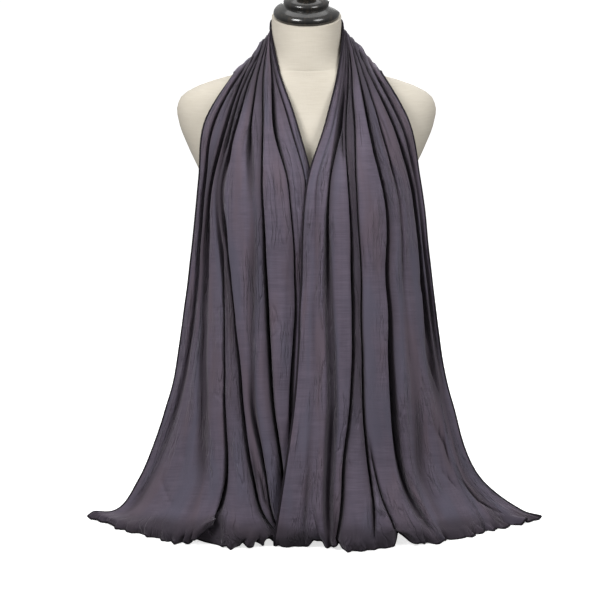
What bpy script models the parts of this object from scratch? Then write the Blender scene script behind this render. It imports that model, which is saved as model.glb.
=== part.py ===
"""A jersey hijab, a plain rectangular shawl, hung round the neck of a limbless dress form.

Metres, +Z up. The origin is the centre of the form's flat bottom, on the surface that it stands on,
and the form faces -Y. The shawl's middle is gathered into pleats behind the neck. Both ends hang
forward over the shoulders, open into long folds and reach the surface at their ruffled hems, the end
on +X lying over the other one down the front.
"""

from collections import namedtuple
from math import pi, radians

import bmesh
import bpy
import numpy as np
from mathutils import Matrix, Vector

# ---- driving dimensions -------------------------------------------------------------------------

SHAWL_LENGTH = 1.80
WALL = 0.0012  # the jersey's wall
SEAM_GAP = 0.0005  # cut back from each side of a seam, where the wall's ends lean to each other
NECK_RUN = 0.105  # from the middle of the back to the top of a shoulder, along the shawl
LOWEST_CLOTH = 0.0009  # the cloth's middle, where it lies on the surface
RUFFLE_HEIGHT = 0.005  # how far the hem waves to each side
RUFFLE_REACH = 0.055  # how far up from the hem the waves are felt
RUFFLES = 20  # waves along each hem
RUFFLE_DRIFT = 0.25  # in waves, how far they stray from an even spacing
RUFFLE_DRIFT_TURNS = 2.3
RUFFLE_LEAST_SPREAD = 0.25  # share of its height that a wave keeps where the folds are bunched

NECK_TOP_HEIGHT = 0.732
NECK_TOP_TILT = radians(17.0)  # the neck is cut sloping forward
CAP_RADIUS = 0.0475

LINEN = (0.73, 0.68, 0.58)
JERSEY = (0.098, 0.082, 0.108)
BLACK_LACQUER = (0.012, 0.012, 0.011)

# ---- the cloth's outer surface, before its folds are let in -------------------------------------
# One row for each station along the shawl. run is metres from the middle of the back, and inner,
# middle and outer are points across it, from the edge at the neck and throat to the outer edge.

Station = namedtuple("Station", "name run inner middle outer")

NAPE = Station("nape", 0.0, (0.0, 0.0535, 0.727), (0.0, 0.081, 0.700), (0.0, 0.084, 0.650))

UNDER_END = (  # hangs on the -X side
    Station("side", 0.052, (-0.0385, 0.0385, 0.726), (-0.059, 0.0580, 0.698), (-0.078, 0.0670, 0.6500)),
    Station("top", 0.105, (-0.0517, -0.001, 0.7215), (-0.073, 0.001, 0.696), (-0.105, 0.004, 0.6508)),
    Station("shoulder", 0.172, (-0.0400, -0.047, 0.6580), (-0.075, -0.064, 0.658), (-0.108, -0.044, 0.6520)),
    Station("collar", 0.248, (-0.0160, -0.083, 0.5900), (-0.079, -0.108, 0.592), (-0.143, -0.068, 0.5880)),
    Station("bust", 0.340, (0.0063, -0.129, 0.5110), (-0.071, -0.153, 0.514), (-0.153, -0.075, 0.5050)),
    Station("waist", 0.492, (0.0090, -0.145, 0.3595), (-0.078, -0.167, 0.363), (-0.170, -0.085, 0.3480)),
    Station("hip", 0.648, (0.0048, -0.160, 0.2067), (-0.093, -0.178, 0.210), (-0.199, -0.085, 0.1860)),
    Station("low", 0.770, (-0.0010, -0.176, 0.0967), (-0.119, -0.180, 0.095), (-0.247, -0.075, 0.0627)),
    Station("foot", 0.846, (-0.0070, -0.183, 0.0280), (-0.150, -0.179, 0.030), (-0.287, -0.066, 0.0125)),
    Station("hem", 0.900, (-0.0090, -0.186, 0.0010), (-0.165, -0.186, 0.001), (-0.321, -0.060, 0.0010)),
)
OVER_END = (  # hangs on the +X side, over the other one
    Station("side", 0.052, (0.0385, 0.0385, 0.726), (0.059, 0.0580, 0.698), (0.078, 0.0670, 0.6500)),
    Station("top", 0.105, (0.0517, -0.001, 0.7215), (0.073, 0.001, 0.696), (0.105, 0.004, 0.6508)),
    Station("shoulder", 0.172, (0.0460, -0.045, 0.6580), (0.078, -0.064, 0.658), (0.108, -0.044, 0.6520)),
    Station("collar", 0.248, (0.0287, -0.083, 0.5900), (0.086, -0.110, 0.592), (0.144, -0.068, 0.5880)),
    Station("bust", 0.340, (0.0020, -0.142, 0.5130), (0.079, -0.157, 0.514), (0.160, -0.075, 0.5050)),
    Station("waist", 0.492, (-0.0062, -0.163, 0.3620), (0.085, -0.171, 0.364), (0.182, -0.085, 0.3480)),
    Station("hip", 0.648, (-0.0158, -0.182, 0.2105), (0.093, -0.182, 0.211), (0.209, -0.085, 0.1860)),
    Station("low", 0.770, (-0.0316, -0.200, 0.1006), (0.106, -0.187, 0.097), (0.256, -0.075, 0.0627)),
    Station("foot", 0.846, (-0.0420, -0.202, 0.0300), (0.130, -0.196, 0.030), (0.316, -0.066, 0.0125)),
    Station("hem", 0.900, (-0.0470, -0.203, 0.0010), (0.148, -0.206, 0.001), (0.345, -0.060, 0.0010)),
)

# ---- the folds ----------------------------------------------------------------------------------
# One row for each valley between two folds. across is its place at each fold station, as a share of
# the way from the inner to the outer edge, and depth is how far it sinks there, in millimetres.
# The fold stations are the nape, the top and the front of the shoulder, the collar, the bust, the
# waist, the hip and just above the hem.

FOLD_RUNS = (0.0, 0.105, 0.172, 0.248, 0.340, 0.492, 0.648, 0.880)

Valley = namedtuple("Valley", "across depth")

UNDER_VALLEYS = (
    Valley((0.110, 0.098, 0.085, 0.067, 0.062, 0.056, 0.057, 0.050), (6, 4, 5, 6, 9, 10, 12, 6)),
    Valley((0.220, 0.203, 0.185, 0.225, 0.218, 0.123, 0.128, 0.100), (11, 6, 9, 14, 22, 26, 28, 6)),
    Valley((0.330, 0.330, 0.330, 0.360, 0.436, 0.369, 0.266, 0.152), (14, 8, 12, 18, 26, 34, 35, 6)),
    Valley((0.450, 0.460, 0.470, 0.506, 0.540, 0.476, 0.383, 0.206), (15, 11, 13, 20, 18, 12, 12, 7)),
    Valley((0.550, 0.575, 0.600, 0.640, 0.730, 0.643, 0.479, 0.262), (15, 12, 13, 20, 20, 24, 30, 12)),
    Valley((0.660, 0.685, 0.710, 0.730, 0.800, 0.720, 0.620, 0.397), (14, 11, 13, 17, 16, 16, 22, 18)),
    Valley((0.780, 0.800, 0.820, 0.810, 0.880, 0.860, 0.794, 0.527), (11, 9, 10, 14, 20, 26, 24, 15)),
    Valley((0.890, 0.905, 0.920, 0.910, 0.950, 0.940, 0.920, 0.745), (7, 6, 7, 9, 14, 18, 18, 12)),
)
OVER_VALLEYS = (
    Valley((0.110, 0.103, 0.095, 0.090, 0.085, 0.076, 0.083, 0.080), (6, 4, 3, 6, 7, 6, 6, 9)),
    Valley((0.220, 0.205, 0.190, 0.173, 0.188, 0.197, 0.224, 0.170), (11, 6, 5, 9, 18, 14, 15, 16)),
    Valley((0.330, 0.312, 0.295, 0.270, 0.357, 0.375, 0.353, 0.235), (14, 8, 7, 13, 28, 30, 30, 24)),
    Valley((0.450, 0.430, 0.410, 0.380, 0.450, 0.460, 0.445, 0.373), (15, 11, 9, 16, 26, 26, 26, 20)),
    Valley((0.550, 0.538, 0.525, 0.530, 0.660, 0.650, 0.615, 0.540), (15, 12, 11, 20, 30, 35, 30, 18)),
    Valley((0.660, 0.650, 0.640, 0.654, 0.777, 0.776, 0.770, 0.625), (14, 11, 11, 19, 16, 14, 14, 16)),
    Valley((0.780, 0.770, 0.760, 0.800, 0.890, 0.890, 0.880, 0.767), (11, 9, 9, 15, 20, 18, 16, 14)),
    Valley((0.890, 0.885, 0.880, 0.910, 0.955, 0.950, 0.950, 0.880), (7, 6, 6, 9, 12, 14, 13, 8)),
)
FOLDS = len(UNDER_VALLEYS) + 1
COLUMNS_PER_FOLD = 8
FULLNESS_STEEPEST = 0.75  # how far a fold's sides stand up at the neck, where 0 is a plain wave
FULLNESS_EASIEST = 0.10  # and below the hip
FULLNESS_EASES_OVER = 0.60  # metres along the shawl from the top of the shoulder
VALLEY_SHARPNESS = 1.15  # 1 is a plain wave, and more leaves broader folds between narrower valleys

BAND_RUNS = (-0.105, -0.078, -0.052, -0.026, 0.0, 0.026, 0.052, 0.078, 0.105)
END_RUNS = (
    *(0.105, 0.124, 0.142, 0.160, 0.180, 0.212, 0.248, 0.294),
    *(0.340, 0.415, 0.492, 0.570, 0.648, 0.730, 0.800, 0.855, 0.900),
)

# ---- the dress form -----------------------------------------------------------------------------
# One row for each section up the form, with its half width, how far it stands to the front and to
# the back, and how much of the neck's forward tilt it has.

Section = namedtuple("Section", "height half_width front back tilt")

FORM_SECTIONS = (
    Section(0.000, 0.165, 0.110, 0.112, 0.0),
    Section(0.050, 0.170, 0.114, 0.118, 0.0),
    Section(0.120, 0.172, 0.116, 0.122, 0.0),
    Section(0.220, 0.150, 0.102, 0.106, 0.0),
    Section(0.310, 0.124, 0.088, 0.090, 0.0),
    Section(0.400, 0.128, 0.096, 0.092, 0.0),
    Section(0.460, 0.142, 0.107, 0.096, 0.0),
    Section(0.505, 0.154, 0.104, 0.100, 0.0),
    Section(0.545, 0.172, 0.088, 0.100, 0.0),
    Section(0.580, 0.185, 0.073, 0.096, 0.0),
    Section(0.605, 0.187, 0.064, 0.090, 0.0),
    Section(0.622, 0.177, 0.059, 0.084, 0.0),
    Section(0.634, 0.155, 0.056, 0.080, 0.0),
    Section(0.644, 0.125, 0.053, 0.075, 0.0),
    Section(0.652, 0.094, 0.051, 0.068, 0.1),
    Section(0.662, 0.067, 0.0505, 0.059, 0.3),
    Section(0.682, 0.0525, 0.0505, 0.0525, 0.6),
    Section(0.708, 0.0505, 0.0505, 0.0505, 0.9),
    Section(NECK_TOP_HEIGHT, 0.0500, 0.0500, 0.0500, 1.0),
)
FORM_SIDES = 44

# The turned cap's outline above the neck's cut, from its top down its outer side: radius, height.
CAP_SEAT = 0.0003
CAP_OUTLINE = (
    (0.0000, 0.0640),
    (0.0085, 0.0630),
    (0.0160, 0.0590),
    (0.0200, 0.0520),
    (0.0195, 0.0450),
    (0.0150, 0.0385),
    (0.0135, 0.0340),
    (0.0180, 0.0300),
    (0.0290, 0.0265),
    (0.0330, 0.0220),
    (0.0325, 0.0170),
    (0.0390, 0.0140),
    (0.0455, 0.0105),
    (CAP_RADIUS, 0.0060),
    (0.0470, CAP_SEAT),
    (0.0000, CAP_SEAT),
)
CAP_SIDES = 28


# ---- helpers ------------------------------------------------------------------------------------

def clear_scene():
    for obj in list(bpy.data.objects):
        bpy.data.objects.remove(obj, do_unlink=True)


def new_material(name, colour, roughness, metallic=0.0):
    material = bpy.data.materials.new(name)
    material.use_nodes = True
    shader = material.node_tree.nodes["Principled BSDF"]
    shader.inputs["Base Color"].default_value = (*colour, 1.0)
    shader.inputs["Roughness"].default_value = roughness
    shader.inputs["Metallic"].default_value = metallic
    material.diffuse_color = (*colour, 1.0)
    return material


def smooth_through(knots, values, at):
    """A smooth curve through values (one row a knot), read at each of at."""
    knots = np.asarray(knots, float)
    values = np.asarray(values, float)
    steps = np.diff(knots)
    slopes = np.diff(values, axis=0) / steps[:, None]
    tangents = np.empty_like(values)
    tangents[1:-1] = slopes[:-1] * steps[1:, None] + slopes[1:] * steps[:-1, None]
    tangents[1:-1] /= (steps[:-1] + steps[1:])[:, None]
    tangents[0], tangents[-1] = slopes[0], slopes[-1]
    i = np.clip(np.searchsorted(knots, at, side="right") - 1, 0, len(steps) - 1)
    h = steps[i][:, None]
    t = ((np.asarray(at) - knots[i]) / steps[i])[:, None]
    return (
        values[i] * (1 + 2 * t) * (1 - t) ** 2
        + tangents[i] * h * t * (1 - t) ** 2
        + values[i + 1] * t**2 * (3 - 2 * t)
        + tangents[i + 1] * h * t**2 * (t - 1)
    )


def both_ends(under, nape, over):
    """Rows for the whole length: the under end's hem first, the over end's hem last."""
    return [*reversed(under), nape, *over]


# ---- the shawl ----------------------------------------------------------------------------------

def outer_surface(run, across):
    """Points of the cloth's outer surface, for arrays of run (signed) and share across."""
    stations = both_ends(UNDER_END, NAPE, OVER_END)
    knots = both_ends([-s.run for s in UNDER_END], NAPE.run, [s.run for s in OVER_END])
    rows = [(*s.inner, *s.middle, *s.outer) for s in stations]
    inner, middle, outer = np.split(smooth_through(knots, rows, run), 3, axis=1)
    w = across[:, None]
    return inner * (1 - w) * (1 - 2 * w) + middle * 4 * w * (1 - w) + outer * w * (2 * w - 1)


def valley_table(run):
    """(across, depth) of every valley at each run, with both edges of the cloth as the end columns."""
    tables = []
    for under, over, edges in (
        ([v.across for v in UNDER_VALLEYS], [v.across for v in OVER_VALLEYS], (0.0, 1.0)),
        ([v.depth for v in UNDER_VALLEYS], [v.depth for v in OVER_VALLEYS], (0.0, 0.0)),
    ):
        under_rows, over_rows = np.array(under, float).T, np.array(over, float).T
        knots = both_ends([-r for r in FOLD_RUNS[1:]], 0.0, FOLD_RUNS[1:])
        rows = both_ends(list(under_rows[1:]), over_rows[0], list(over_rows[1:]))
        table = smooth_through(knots, rows, np.clip(run, knots[0], knots[-1]))
        ends = np.ones((len(run), 1))
        tables.append(np.hstack([ends * edges[0], table, ends * edges[1]]))
    return tables[0], tables[1] / 1000


def folded_surface(run, share):
    """Points of the folded cloth, for arrays of run and of share of the cloth's own width."""
    across, depth = valley_table(run)
    fold = np.minimum((share * FOLDS).astype(int), FOLDS - 1)
    phase = share * FOLDS - fold
    row = np.arange(len(run))
    before, after = across[row, fold], across[row, fold + 1]
    ease = np.clip((np.abs(run) - NECK_RUN) / FULLNESS_EASES_OVER, 0, 1)
    fullness = FULLNESS_STEEPEST + (FULLNESS_EASIEST - FULLNESS_STEEPEST) * ease
    swing = phase + fullness * np.sin(4 * pi * phase) / (4 * pi)
    w = before + (after - before) * swing
    valley = 0.5 + 0.5 * np.cos(2 * pi * phase)
    sink = np.where(phase < 0.5, depth[row, fold], depth[row, fold + 1]) * valley**VALLEY_SHARPNESS

    points = outer_surface(run, w)
    step = 0.002
    along = outer_surface(run + step, w) - outer_surface(run - step, w)
    sideways = outer_surface(run, w + step) - outer_surface(run, w - step)
    outward = np.cross(along, sideways)
    outward /= np.linalg.norm(outward, axis=1)[:, None]

    near_hem = np.clip((np.abs(run) - SHAWL_LENGTH / 2 + RUFFLE_REACH) / RUFFLE_REACH, 0, 1)
    spread = np.clip((after - before) * FOLDS, RUFFLE_LEAST_SPREAD, 1)
    height = RUFFLE_HEIGHT * near_hem**1.5 * spread
    angle = 2 * pi * (RUFFLES * share + RUFFLE_DRIFT * np.sin(2 * pi * RUFFLE_DRIFT_TURNS * share))
    points += outward * (height * np.sin(angle) - sink)[:, None]
    points[:, 2] += height * (1 - np.cos(angle)) / 2
    points[:, 2] = np.maximum(points[:, 2], LOWEST_CLOTH)
    return points


def cloth_piece(name, runs, collection, material):
    """One stretch of the shawl, between the first and last of runs, as a wall of real thickness."""
    columns = FOLDS * COLUMNS_PER_FOLD
    mesh = bmesh.new()
    # create_grid lays its vertices row by row: x counts across the cloth, y counts along it
    bmesh.ops.create_grid(mesh, x_segments=columns, y_segments=len(runs) - 1, size=0.5)
    mesh.verts.ensure_lookup_table()
    flat = np.array([v.co[:2] for v in mesh.verts]) + 0.5
    share = np.clip(flat[:, 0], 0, 1)
    run = np.array(runs)[np.rint(flat[:, 1] * (len(runs) - 1)).astype(int)]
    for vertex, point in zip(mesh.verts, folded_surface(run, share)):
        vertex.co = point
    bmesh.ops.reverse_faces(mesh, faces=mesh.faces)
    data = bpy.data.meshes.new(name)
    mesh.to_mesh(data)
    mesh.free()
    data.shade_smooth()
    data.materials.append(material)
    piece = bpy.data.objects.new(name, data)
    collection.objects.link(piece)
    wall = piece.modifiers.new("wall", "SOLIDIFY")
    wall.thickness = WALL
    wall.offset = 0.0


def make_shawl(collection):
    jersey = new_material("jersey", JERSEY, 0.85)
    band = [r * (1 - SEAM_GAP / NECK_RUN) for r in BAND_RUNS]
    end = [END_RUNS[0] + SEAM_GAP, *END_RUNS[1:]]
    cloth_piece("shawl_back_neck", band, collection, jersey)
    cloth_piece("shawl_front_left", end, collection, jersey)
    cloth_piece("shawl_front_right", [-r for r in reversed(end)], collection, jersey)


# ---- the dress form -----------------------------------------------------------------------------

def make_torso(collection):
    """The form's linen body and neck, lofted through its sections."""
    mesh = bmesh.new()
    rings = []
    for section in FORM_SECTIONS:
        ring = bmesh.ops.create_circle(mesh, segments=FORM_SIDES, radius=1.0)["verts"]
        slope = np.tan(NECK_TOP_TILT * section.tilt)
        for vertex in ring:
            x = vertex.co.x * section.half_width
            y = vertex.co.y * (section.front if vertex.co.y < 0 else section.back)
            vertex.co = (x, y, section.height + y * slope)
        rings.append(ring)
    for lower, upper in zip(rings, rings[1:]):
        for i in range(FORM_SIDES):
            j = (i + 1) % FORM_SIDES
            mesh.faces.new((lower[i], lower[j], upper[j], upper[i]))
    mesh.faces.new(rings[0])
    mesh.faces.new(rings[-1])
    bmesh.ops.recalc_face_normals(mesh, faces=mesh.faces)
    data = bpy.data.meshes.new("torso")
    mesh.to_mesh(data)
    mesh.free()
    data.shade_smooth()
    data.set_sharp_from_angle(angle=radians(50))
    data.materials.append(new_material("linen", LINEN, 0.9))
    collection.objects.link(bpy.data.objects.new("torso", data))


def make_neck_cap(collection):
    """The black turned cap that closes the neck, standing square to its sloping cut."""
    mesh = bmesh.new()
    points = [mesh.verts.new((r, 0.0, z)) for r, z in CAP_OUTLINE]
    for a, b in zip(points, points[1:]):
        mesh.edges.new((a, b))
    data = bpy.data.meshes.new("neck_cap")
    mesh.to_mesh(data)
    mesh.free()
    data.materials.append(new_material("black_lacquer", BLACK_LACQUER, 0.18))
    cap = bpy.data.objects.new("neck_cap", data)
    cap.matrix_world = Matrix.Translation(Vector((0, 0, NECK_TOP_HEIGHT))) @ Matrix.Rotation(NECK_TOP_TILT, 4, "X")
    collection.objects.link(cap)
    turn = cap.modifiers.new("turn", "SCREW")
    turn.axis = "Z"
    turn.angle = 2 * pi
    turn.steps = turn.render_steps = CAP_SIDES
    turn.use_merge_vertices = True
    turn.merge_threshold = 0.00005
    turn.use_smooth_shade = True


clear_scene()
hijab = bpy.data.collections.new("jersey_hijab_on_dress_form")
bpy.context.scene.collection.children.link(hijab)
make_torso(hijab)
make_neck_cap(hijab)
make_shawl(hijab)
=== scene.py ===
"""The looks of a jersey hijab hung on a dress form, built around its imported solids.

Metres, +Z up, the form facing -Y. The sections follow the thing as it is put together: the linen form,
its turned cap, the jersey shawl laid round the neck, the overlocked edge, then the table and the light.
"""

from collections import namedtuple
from math import cos, pi, radians, sin

import bmesh
import bpy
import numpy as np
from mathutils import Matrix, Vector
from mathutils.bvhtree import BVHTree


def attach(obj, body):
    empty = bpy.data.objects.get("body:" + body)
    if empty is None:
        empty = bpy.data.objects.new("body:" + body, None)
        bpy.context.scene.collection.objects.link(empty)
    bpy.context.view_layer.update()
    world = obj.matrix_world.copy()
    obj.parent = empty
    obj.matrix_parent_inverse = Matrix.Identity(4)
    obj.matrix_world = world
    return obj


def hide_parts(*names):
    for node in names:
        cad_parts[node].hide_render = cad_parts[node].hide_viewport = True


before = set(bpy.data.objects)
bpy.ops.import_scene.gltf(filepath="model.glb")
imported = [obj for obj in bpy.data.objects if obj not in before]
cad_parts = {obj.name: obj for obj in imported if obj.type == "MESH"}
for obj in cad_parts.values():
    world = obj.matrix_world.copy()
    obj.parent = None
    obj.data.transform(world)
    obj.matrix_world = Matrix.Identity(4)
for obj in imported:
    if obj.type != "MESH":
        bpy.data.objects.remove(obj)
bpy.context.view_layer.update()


# ---- the dress form -----------------------------------------------------------------------------
# A hard bust covered in pale beige linen, which is pulled tight and seamed round the foot of the
# neck. It stands on its flat oval bottom, and the neck's top is cut on a slope.

# One ring of the body: its half width, how far it reaches forwards and back, and how much of the
# slope of the neck's cut it has.
Section = namedtuple("Section", "height half_width front back tilt")

FORM_SECTIONS = (
    Section(0.000, 0.165, 0.110, 0.112, 0.0),
    Section(0.050, 0.170, 0.114, 0.118, 0.0),
    Section(0.120, 0.172, 0.116, 0.122, 0.0),
    Section(0.220, 0.150, 0.102, 0.106, 0.0),
    Section(0.310, 0.124, 0.088, 0.090, 0.0),
    Section(0.400, 0.128, 0.096, 0.092, 0.0),
    Section(0.460, 0.142, 0.107, 0.096, 0.0),
    Section(0.505, 0.154, 0.104, 0.100, 0.0),
    Section(0.545, 0.172, 0.088, 0.100, 0.0),
    Section(0.580, 0.185, 0.073, 0.096, 0.0),
    Section(0.605, 0.187, 0.064, 0.090, 0.0),
    Section(0.622, 0.177, 0.059, 0.084, 0.0),
    Section(0.634, 0.155, 0.056, 0.080, 0.0),
    Section(0.644, 0.125, 0.053, 0.075, 0.0),
    Section(0.652, 0.094, 0.051, 0.068, 0.1),
    Section(0.662, 0.067, 0.0505, 0.059, 0.3),
    Section(0.682, 0.0525, 0.0505, 0.0525, 0.6),
    Section(0.708, 0.0505, 0.0505, 0.0505, 0.9),
    Section(0.732, 0.0500, 0.0500, 0.0500, 1.0),
)
NECK_TOP_HEIGHT = FORM_SECTIONS[-1].height
NECK_TOP_TILT = radians(17.0)
FORM_RINGS = 90
FORM_SIDES = 96
FORM_CREASE_ANGLE = radians(50)  # an edge sharper than this is shaded as an edge
NECK_SEAM_HEIGHT = 0.661
SEAM_DEPTH = 0.0006
SEAM_HALF_WIDTH = 0.0014
SEAM_RINGS = (-2, -1, 0, 1, 2)  # where the rings that shape the seam lie, in half widths
LINEN_LIGHT = (0.590, 0.545, 0.464, 1.0)
LINEN_SHADE = (0.502, 0.452, 0.370, 1.0)
LINEN_EVENNESS = 0.45  # how far the shaded places are brought back to the light colour
LINEN_MOTTLE = (0.38, 0.66)  # the noise that gives the shaded colour, and the light one
THREAD_RELIEF = 0.00022
LINEN_SLUB_RELIEF = 0.00012

# A noise in a material: how it is drawn out along x, y and z (a small number makes it long), its
# scale, its detail and roughness, and how far it is turned about z.
Grain = namedtuple("Grain", "stretch scale detail roughness turn", defaults=(0.5, 0.0))

EVEN = (1.0, 1.0, 1.0)
LINEN_THREAD = 0.0009  # from one thread of the weave to the next
WARP = Grain((1.0, 1.0, 0.06), 1 / LINEN_THREAD, 1.0)
WEFT = Grain((0.06, 0.06, 1.0), 1 / LINEN_THREAD, 1.0)
LINEN_SLUBS = Grain((0.12, 0.12, 1.0), 420.0, 2.0)
LINEN_TONE = Grain(EVEN, 9.0, 3.0)


def smooth_through(knots, values, at):
    """A smooth curve through values (one row a knot), read at each of at."""
    knots = np.asarray(knots, float)
    values = np.asarray(values, float)
    steps = np.diff(knots)
    slopes = np.diff(values, axis=0) / steps[:, None]
    tangents = np.empty_like(values)
    tangents[1:-1] = slopes[:-1] * steps[1:, None] + slopes[1:] * steps[:-1, None]
    tangents[1:-1] /= (steps[:-1] + steps[1:])[:, None]
    tangents[0], tangents[-1] = slopes[0], slopes[-1]
    i = np.clip(np.searchsorted(knots, at, side="right") - 1, 0, len(steps) - 1)
    h = steps[i][:, None]
    t = ((np.asarray(at) - knots[i]) / steps[i])[:, None]
    return (
        values[i] * (1 + 2 * t) * (1 - t) ** 2
        + tangents[i] * h * t * (1 - t) ** 2
        + values[i + 1] * t**2 * (3 - 2 * t)
        + tangents[i + 1] * h * t**2 * (t - 1)
    )


class Flow:
    """What comes out of a node's socket. Arithmetic on it adds Math nodes."""

    def __init__(self, finish, socket):
        self.finish = finish
        self.socket = socket

    def math(self, operation, *values):
        return self.finish.node("ShaderNodeMath", {"operation": operation}, dict(enumerate(values)))

    def __add__(self, other):
        return self.math("ADD", self, other)

    def __sub__(self, other):
        return self.math("SUBTRACT", self, other)

    def __rsub__(self, other):
        return self.math("SUBTRACT", other, self)

    def __mul__(self, other):
        return self.math("MULTIPLY", self, other)

    def __abs__(self):
        return self.math("ABSOLUTE", self)

    __radd__ = __add__
    __rmul__ = __mul__


class Finish:
    """A material with one Principled BSDF, whose nodes are added by name."""

    def __init__(self, name):
        self.material = bpy.data.materials.new(name)
        self.material.use_nodes = True
        self.tree = self.material.node_tree
        self.shader = self.tree.nodes["Principled BSDF"]

    def feed(self, socket, value):
        if isinstance(value, Flow):
            self.tree.links.new(value.socket, socket)
        else:
            socket.default_value = value

    def node(self, kind, settings=None, inputs=None, out=0):
        """Adds a node, sets it, feeds its sockets and gives one of its outputs."""
        node = self.tree.nodes.new(kind)
        for name, value in (settings or {}).items():
            setattr(node, name, value)
        for name, value in (inputs or {}).items():
            self.feed(node.inputs[name], value)
        return Flow(self, node.outputs[out])

    def noise(self, vector, grain):
        if grain.stretch != EVEN:
            wanted = {"Vector": vector, "Scale": grain.stretch, "Rotation": (0.0, 0.0, grain.turn)}
            vector = self.node("ShaderNodeMapping", inputs=wanted)
        wanted = {"Vector": vector, "Scale": grain.scale}
        wanted |= {"Detail": grain.detail, "Roughness": grain.roughness}
        return self.node("ShaderNodeTexNoise", inputs=wanted)

    def mix(self, share, first, second):
        """A colour between two colours."""
        wanted = {0: share, 6: first, 7: second}
        return self.node("ShaderNodeMix", {"data_type": "RGBA"}, wanted, out=2)

    def between(self, value, low, high, to_low=0.0, to_high=1.0):
        """to_low where the value is low, to_high where it is high, and smooth between."""
        wanted = {"Value": value, "From Min": low, "From Max": high, "To Min": to_low, "To Max": to_high}
        return self.node("ShaderNodeMapRange", {"interpolation_type": "SMOOTHSTEP"}, wanted)

    def bump(self, height, distance, below=None):
        wanted = {"Height": height, "Distance": distance}
        if below is not None:
            wanted["Normal"] = below
        return self.node("ShaderNodeBump", inputs=wanted)

    def shade(self, **inputs):
        """Feeds the shader's own sockets, named with _ for a space, and gives the material."""
        for name, value in inputs.items():
            self.feed(self.shader.inputs[name.replace("_", " ")], value)
        return self.material


def linen():
    finish = Finish("linen")
    place = finish.node("ShaderNodeTexCoord", out="Object")
    threads = (finish.noise(place, WARP) + finish.noise(place, WEFT)) * 0.5
    slubs = finish.noise(place, LINEN_SLUBS)
    mottle = finish.noise(place, LINEN_TONE) * 0.5 + slubs * 0.3 + threads * 0.2
    mottled = finish.mix(finish.between(mottle, *LINEN_MOTTLE), LINEN_SHADE, LINEN_LIGHT)
    return finish.shade(
        Base_Color=finish.mix(LINEN_EVENNESS, mottled, LINEN_LIGHT),
        Roughness=0.86,
        Normal=finish.bump(slubs, LINEN_SLUB_RELIEF, finish.bump(threads, THREAD_RELIEF)),
        Sheen_Weight=0.12,
        Sheen_Roughness=0.5,
    )


def new_piece(name, mesh, material):
    """A finished piece from a bmesh, smooth, in the scene and riding on the part's only body."""
    data = bpy.data.meshes.new(name)
    mesh.to_mesh(data)
    mesh.free()
    data.shade_smooth()
    data.materials.append(material)
    piece = bpy.data.objects.new(name, data)
    bpy.context.scene.collection.objects.link(piece)
    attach(piece, "root")
    return piece


def form_body():
    """The body and neck, lofted ring by ring, with the neck's seam let in as a shallow groove."""
    knots = [s.height for s in FORM_SECTIONS]
    heights = np.unique(np.concatenate([
        np.linspace(0, NECK_TOP_HEIGHT, FORM_RINGS),
        NECK_SEAM_HEIGHT + SEAM_HALF_WIDTH * np.array(SEAM_RINGS),
    ]))
    sections = smooth_through(knots, [s[1:] for s in FORM_SECTIONS], heights)
    mesh = bmesh.new()
    rings = []
    for height, (half_width, front, back, tilt) in zip(heights, sections):
        ring = bmesh.ops.create_circle(mesh, segments=FORM_SIDES, radius=1.0)["verts"]
        slope = np.tan(NECK_TOP_TILT * tilt)
        groove = SEAM_DEPTH * np.exp(-(((height - NECK_SEAM_HEIGHT) / SEAM_HALF_WIDTH) ** 2))
        for vertex in ring:
            x = vertex.co.x * (half_width - groove)
            y = vertex.co.y * ((front if vertex.co.y < 0 else back) - groove)
            vertex.co = (x, y, height + y * slope)
        rings.append(ring)
    for lower, upper in zip(rings, rings[1:]):
        for i in range(FORM_SIDES):
            j = (i + 1) % FORM_SIDES
            mesh.faces.new((lower[i], lower[j], upper[j], upper[i]))
    mesh.faces.new(rings[0])
    mesh.faces.new(rings[-1])
    bmesh.ops.recalc_face_normals(mesh, faces=mesh.faces)
    return mesh


dress_form = new_piece("dress_form", form_body(), linen())
dress_form.data.set_sharp_from_angle(angle=FORM_CREASE_ANGLE)
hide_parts("torso")


# ---- the neck cap -------------------------------------------------------------------------------
# One piece of turned wood under glossy black lacquer: a flange with two rolled rings, a waist and a
# knob. It is screwed square to the neck's sloping cut.

CAP_OUTLINE = (  # radius and height above the cut, from the top down the outer side
    (0.0000, 0.0640),
    (0.0045, 0.0637),
    (0.0085, 0.0628),
    (0.0125, 0.0612),
    (0.0160, 0.0587),
    (0.0188, 0.0555),
    (0.0200, 0.0518),
    (0.0202, 0.0482),
    (0.0192, 0.0448),
    (0.0172, 0.0415),
    (0.0150, 0.0385),
    (0.0137, 0.0360),
    (0.0135, 0.0338),
    (0.0150, 0.0318),
    (0.0180, 0.0302),
    (0.0235, 0.0286),
    (0.0290, 0.0266),
    (0.0322, 0.0240),
    (0.0332, 0.0212),
    (0.0322, 0.0186),
    (0.0322, 0.0172),
    (0.0350, 0.0160),
    (0.0385, 0.0147),
    (0.0420, 0.0130),
    (0.0448, 0.0112),
    (0.0468, 0.0086),
    (0.0475, 0.0060),
    (0.0473, 0.0032),
    (0.0466, 0.0003),
    (0.0000, 0.0003),
)
CAP_SIDES = 72
CAP_CREASE_ANGLE = radians(60)
SAME_POINT = 0.00002  # points of a turned piece closer than this are one
LACQUER = (0.010, 0.0098, 0.0092, 1.0)
LACQUER_WORN = (0.030, 0.024, 0.018, 1.0)
LACQUER_WEAR = (0.45, 0.75)  # the noise where wear starts to show, and where it shows fully
LACQUER_ROUGHNESS = (0.16, 0.30)
LACQUER_RELIEF = 0.00010
NOISE_SPREAD = (0.3, 0.7)  # nearly all of a noise lies between these
WOOD_GRAIN = Grain((1.0, 1.0, 0.08), 260.0, 3.0)
LACQUER_RIPPLE = Grain(EVEN, 60.0, 2.0)


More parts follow.
